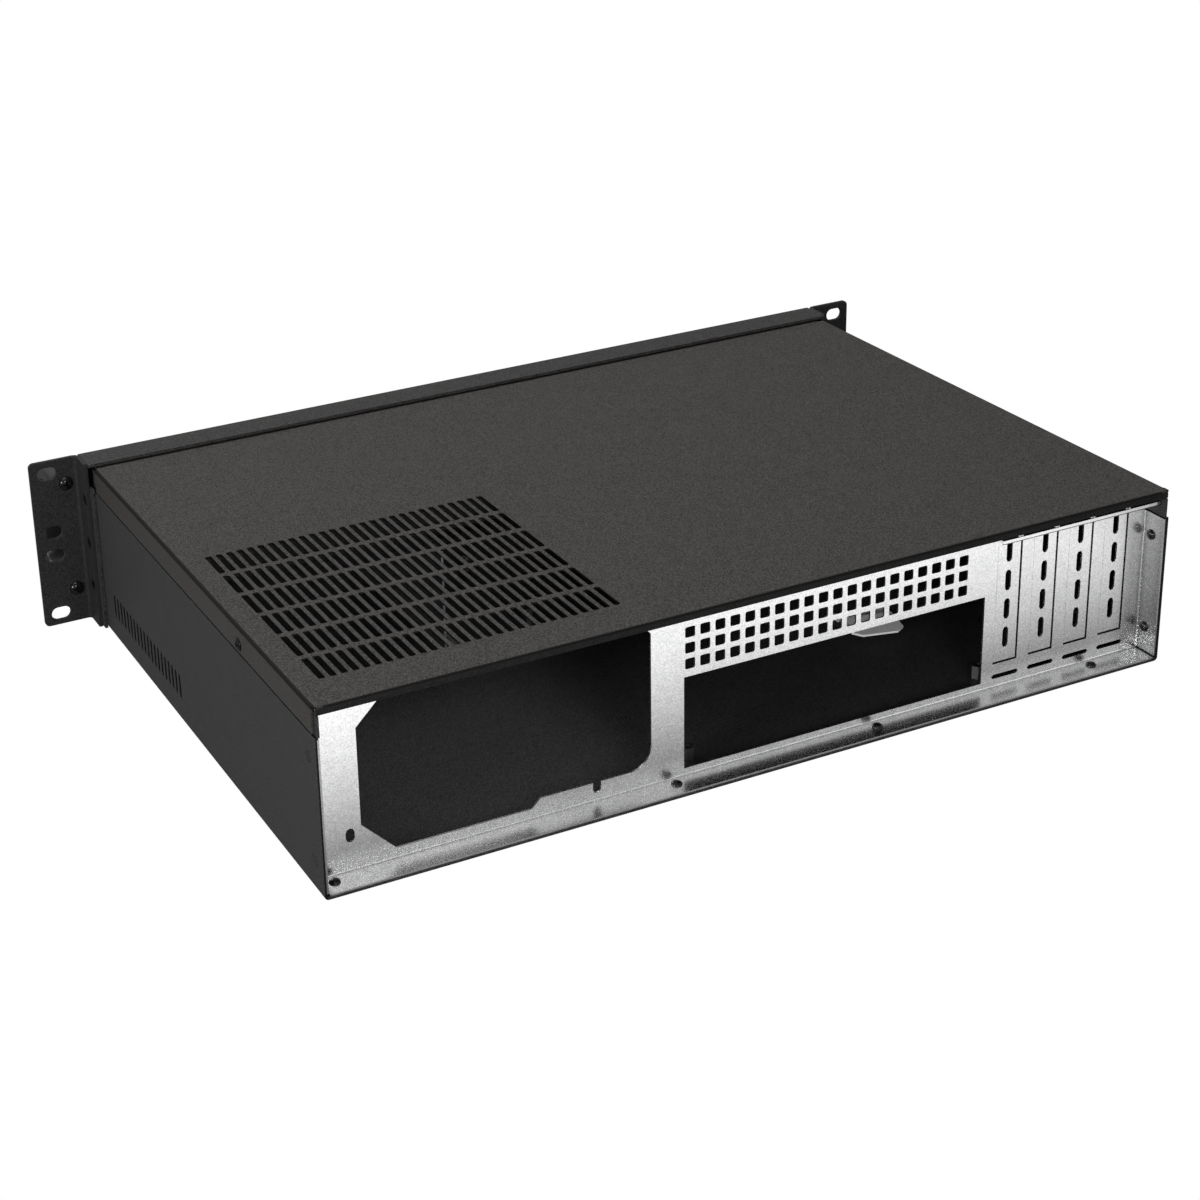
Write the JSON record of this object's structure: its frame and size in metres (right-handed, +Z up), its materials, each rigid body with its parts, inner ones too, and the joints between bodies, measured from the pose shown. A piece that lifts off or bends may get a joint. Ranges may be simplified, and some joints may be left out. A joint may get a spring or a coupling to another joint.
{
  "type": "rackmount computer case",
  "caption": "Low empty rackmount computer case with slotted ears, front handles, a vented screwed cover and a bright rear sheet open for supply, board and cards.",
  "frame": {"origin": "middle of the footprint of the whole object, on the surface that it stands on", "axes": "+X to the right as seen from the front, +Y to the rear, +Z up"},
  "size_m": [0.4826, 0.336, 0.0889],
  "materials": {
    "base_paint": "fine texture powder coat, satin",
    "cover_paint": "fine texture powder coat, satin",
    "front_paint": "fine texture powder coat, satin",
    "ear_paint": "fine texture powder coat, satin",
    "handle_paint": "smooth powder coat, satin",
    "galvanised": "galvanised, fine spangle",
    "cage_steel": "galvanised, fine spangle",
    "brace_paint": "fine texture powder coat, satin",
    "plate_steel": "galvanised",
    "black_screw": "black zinc, glossy",
    "black_rivet": "black, glossy",
    "plain_screw": "bright zinc",
    "nut_steel": "zinc plated",
    "standoff_steel": "turned",
    "button_plastic": "moulded, matt",
    "switch_plastic": "moulded, matt",
    "light_plastic": "clear tinted",
    "socket_metal": "plated",
    "board_green": "solder mask"
  },
  "bodies": {
    "chassis": {"base_tray": "base_paint", "top_cover": "cover_paint", "rear_panel": "galvanised", "front_panel": "front_paint", "ear_left": "ear_paint", "ear_right": "ear_paint", "handle_left": "handle_paint", "handle_right": "handle_paint", "handle_screws": "black_screw", "ear_screws": "black_screw", "cover_screws": "black_screw", "clinch_nuts": "nut_steel", "floor_rivets": "black_rivet", "side_rivets": "black_rivet", "standoffs": "standoff_steel", "drive_cage": "cage_steel", "cage_screws": "plain_screw", "cross_brace": "brace_paint", "floor_plate": "plate_steel", "power_switch": "switch_plastic", "reset_switch": "switch_plastic", "power_light": "light_plastic", "drive_light": "light_plastic", "data_sockets": "socket_metal", "control_board": "board_green", "board_posts": "nut_steel", "board_screws": "plain_screw"},
    "power_button": {"power_button": "button_plastic"},
    "reset_button": {"reset_button": "button_plastic"}
  },
  "joints": [
    {"name": "power_press", "type": "slide", "parent": "chassis", "child": "power_button", "axis": [0, 1, 0], "range_m": [0, 0.0015], "stiffness_N_per_m": 500},
    {"name": "reset_press", "type": "slide", "parent": "chassis", "child": "reset_button", "axis": [0, 1, 0], "range_m": [0, 0.001], "stiffness_N_per_m": 500}
  ]
}
